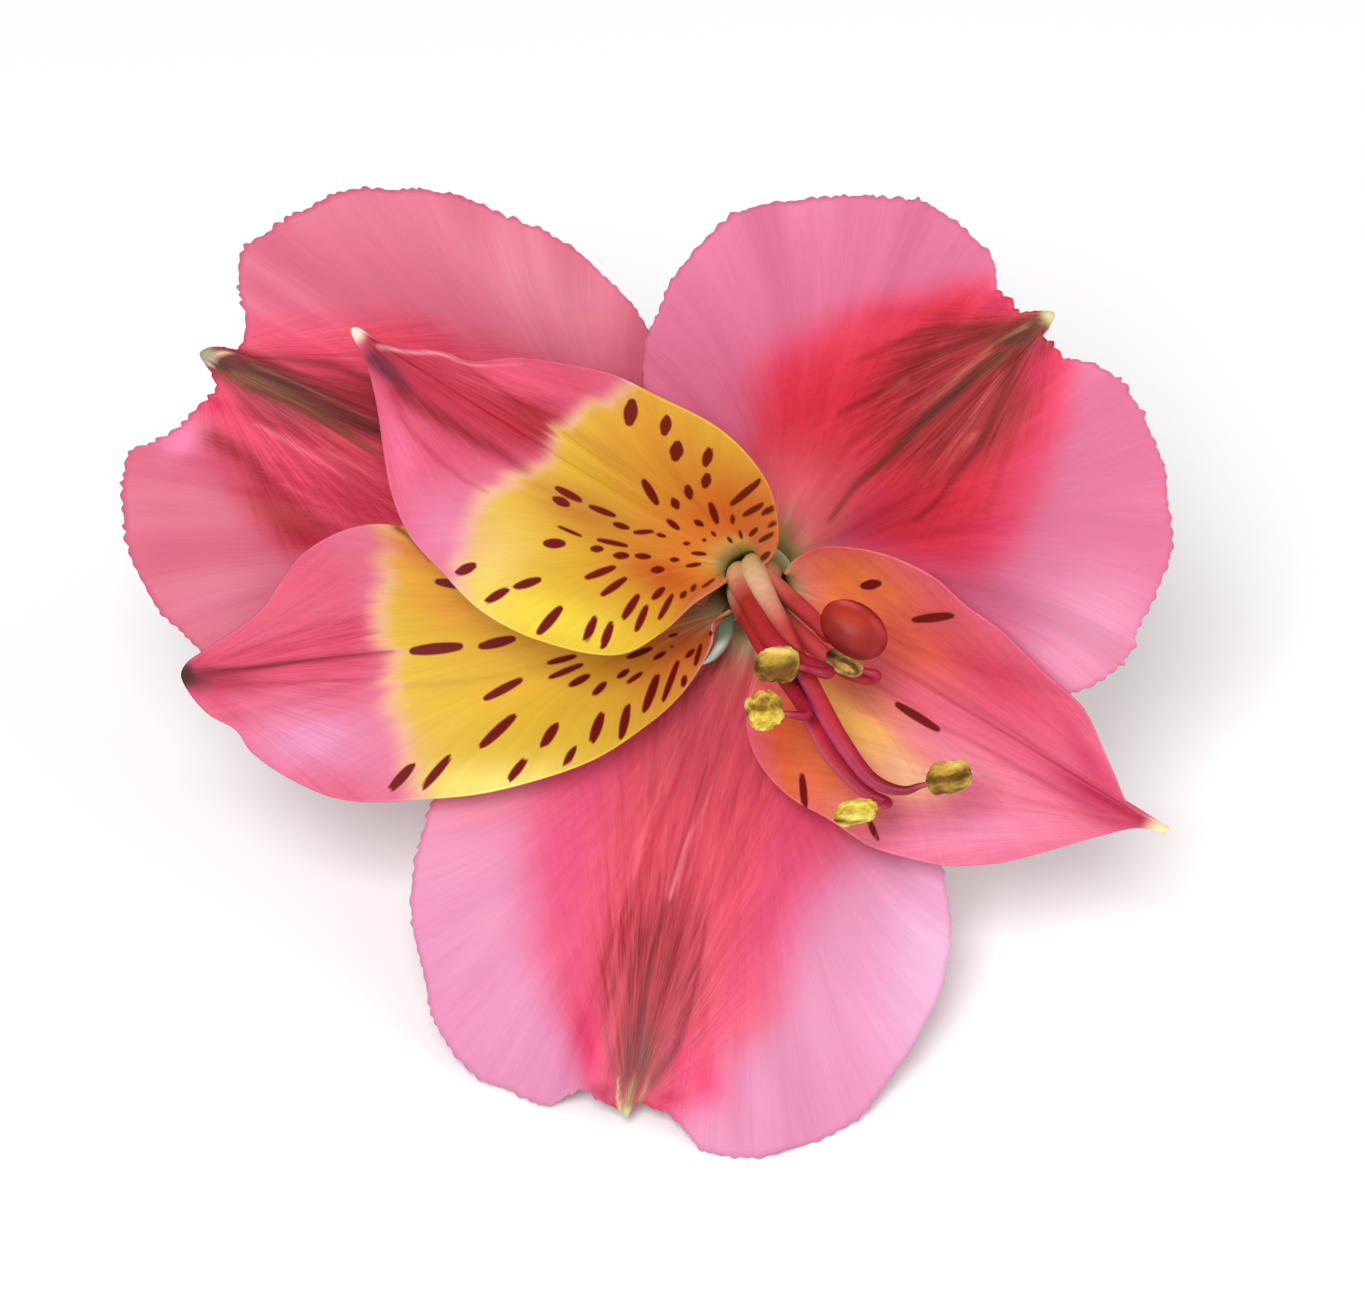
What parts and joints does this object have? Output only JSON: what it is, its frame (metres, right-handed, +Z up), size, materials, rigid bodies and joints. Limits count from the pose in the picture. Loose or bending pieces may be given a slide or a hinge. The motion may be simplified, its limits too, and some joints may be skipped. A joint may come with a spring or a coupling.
{
  "type": "cut alstroemeria bloom",
  "caption": "Open alstroemeria bloom on a short cut stalk, lying face up, with broad pink outer tepals, narrow spotted yellow inner tepals and curved stamens.",
  "frame": {"origin": "centre of the bounding box, at its bottom, on the surface that the flower lies on", "axes": "+Z up, the bloom's face tips up towards -Y, the cut stalk runs back along +Y, +X is the viewer's right"},
  "size_m": [0.0779, 0.0904, 0.055],
  "materials": {
    "outer_tepal": "soft satin petal, light pink lobes, hot pink centre, olive brown midrib and tip",
    "inner_tepal": "soft satin petal, yellow with maroon dashes, pink outer half",
    "inner_tepal_lower": "soft satin petal, pink with an orange base and a few maroon dashes",
    "filament": "smooth fleshy crimson, cream green at the base",
    "anther": "rough grainy olive yellow pollen",
    "bud_anther": "smooth unopened red anther",
    "stalk": "smooth waxy green plant tissue"
  },
  "bodies": {
    "root": {"outer_tepal_lower": "outer_tepal", "outer_tepal_right": "outer_tepal", "outer_tepal_left": "outer_tepal", "inner_tepal_upper": "inner_tepal", "inner_tepal_left": "inner_tepal", "inner_tepal_lower": "inner_tepal_lower", "filament_1": "filament", "filament_2": "filament", "filament_3": "filament", "filament_4": "filament", "filament_5": "filament", "filament_6": "filament", "anther_1": "anther", "anther_2": "anther", "anther_3": "anther", "anther_4": "bud_anther", "anther_5": "anther", "anther_6": "anther", "style": "filament", "ovary": "stalk", "stalk": "stalk"}
  },
  "joints": []
}
